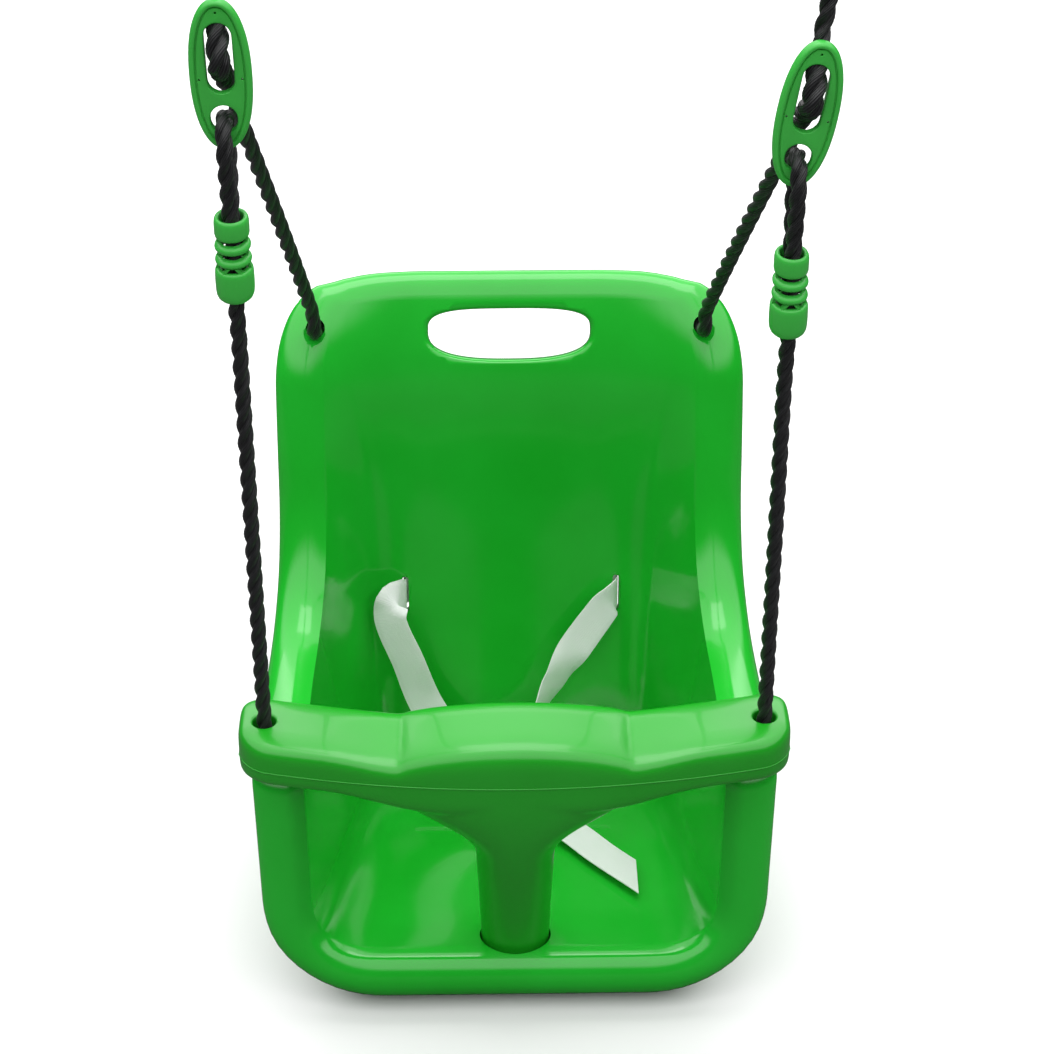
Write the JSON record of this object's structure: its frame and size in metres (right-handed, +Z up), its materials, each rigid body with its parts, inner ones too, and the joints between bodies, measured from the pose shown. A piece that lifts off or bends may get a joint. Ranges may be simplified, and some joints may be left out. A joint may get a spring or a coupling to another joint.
{
  "type": "toddler bucket swing",
  "caption": "Moulded toddler bucket seat with a lift-up T-bar, lap belt and hand slot, hung on knotted rope legs with clamps, adjuster plates and hanger rings.",
  "frame": {"origin": "on the ground plane, at the middle of the pad under the bucket's floor", "axes": "+Z up, +X towards the child's left as the swing is seen from the front, -Y is the way the child faces"},
  "size_m": [0.468, 0.3496, 1.014],
  "materials": {
    "bucket_plastic": "glossy moulded polyethylene",
    "t_bar_plastic": "satin moulded polyethylene",
    "clamp_plastic": "satin injection moulded",
    "rope": "laid three-strand synthetic rope with a soft sheen",
    "belt_webbing": "fine woven webbing",
    "ring_steel": "zinc plated"
  },
  "bodies": {
    "hangers": {"hanger_ring_left": "ring_steel", "hanger_ring_right": "ring_steel"},
    "hanging_ropes": {"hanging_rope_left": "rope", "hanging_rope_right": "rope", "upper_clamp_left": "clamp_plastic", "upper_clamp_right": "clamp_plastic"},
    "seat": {"bucket": "bucket_plastic", "front_rope_left": "rope", "front_rope_right": "rope", "rear_rope_left": "rope", "rear_rope_right": "rope", "rope_plate_left": "clamp_plastic", "rope_plate_right": "clamp_plastic", "lower_clamp_left": "clamp_plastic", "lower_clamp_right": "clamp_plastic", "lap_belt": "belt_webbing"},
    "t_bar": {"t_bar": "t_bar_plastic"}
  },
  "joints": [
    {"name": "swing_pivot", "type": "hinge", "parent": "hangers", "child": "hanging_ropes", "pos_m": [0, -0.1105, 0.96], "axis": [1, 0, 0], "range_deg": [-40, 40]},
    {"name": "seat_rock", "type": "hinge", "parent": "hanging_ropes", "child": "seat", "pos_m": [0.00639, -0.1105, 0.72643], "axis": [0.9969, 0, -0.079], "range_deg": [-20, 20]},
    {"name": "t_bar_lift", "type": "slide", "parent": "seat", "child": "t_bar", "axis": [0, 0, 1], "range_m": [0, 0.25]}
  ]
}
